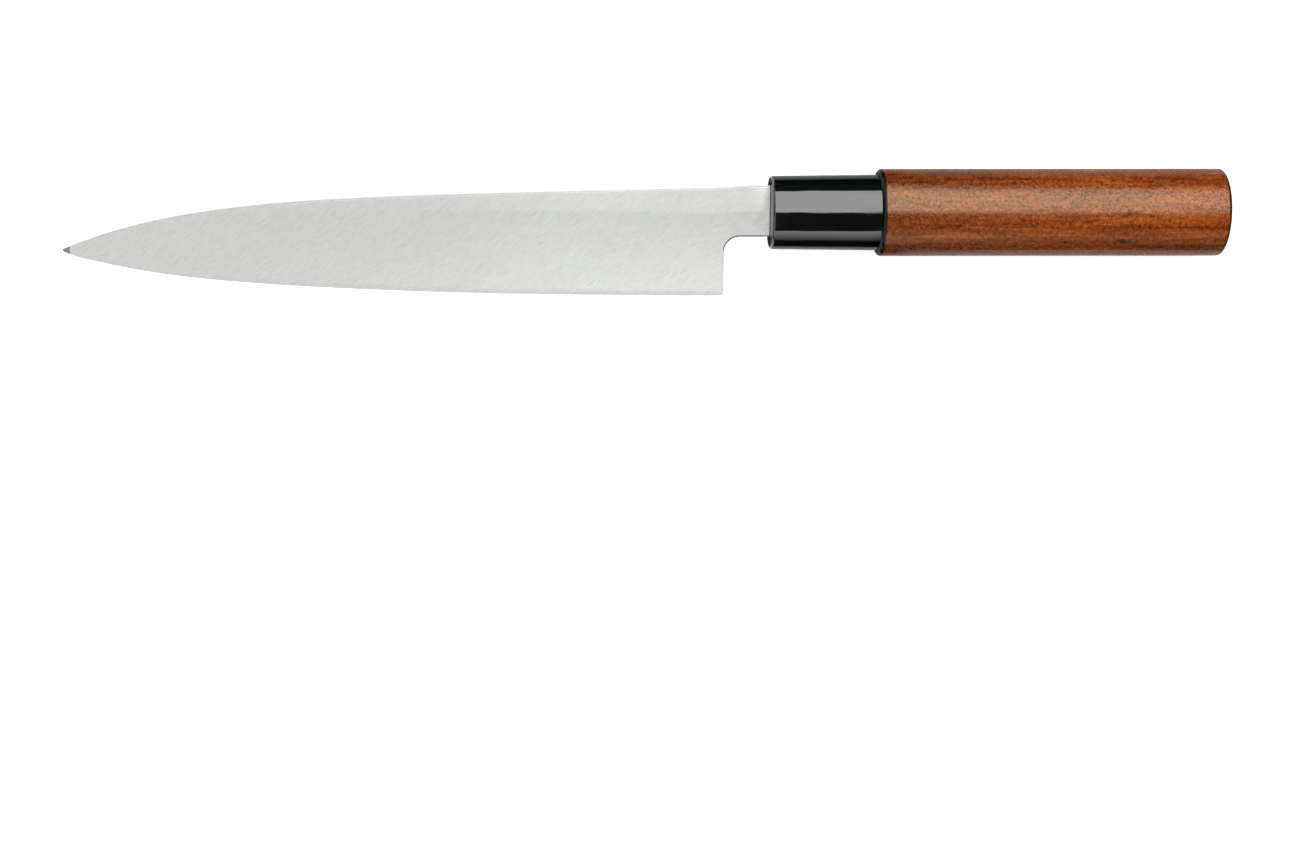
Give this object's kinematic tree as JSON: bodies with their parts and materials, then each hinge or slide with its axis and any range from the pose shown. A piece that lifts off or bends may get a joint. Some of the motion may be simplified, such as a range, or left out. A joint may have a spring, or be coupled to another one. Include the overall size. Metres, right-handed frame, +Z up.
{
  "type": "single-bevel slicing knife",
  "caption": "Long slim slicing knife with a hollow-ground single-bevel blade, a round choil, a black ferrule and ring, and an oval wooden handle.",
  "frame": {"origin": "under the middle of the whole knife, on the surface that the handle rests on", "axes": "+X along the knife from the tip to the butt, +Y from the cutting edge to the spine, +Z up out of the hollow-ground face"},
  "size_m": [0.3442, 0.0376, 0.0206],
  "materials": {
    "blade_steel": "satin, ground in fine diagonal lines",
    "ferrule_plastic": "polished black moulding",
    "ring_plastic": "polished black",
    "grip_wood": "satin lacquer over red-brown straight grain with dark pores",
    "bedding_resin": "cured dark resin"
  },
  "bodies": {
    "root": {"blade": "blade_steel", "ferrule": "ferrule_plastic", "spacer_ring": "ring_plastic", "grip": "grip_wood", "tang_bedding": "bedding_resin"}
  },
  "joints": []
}
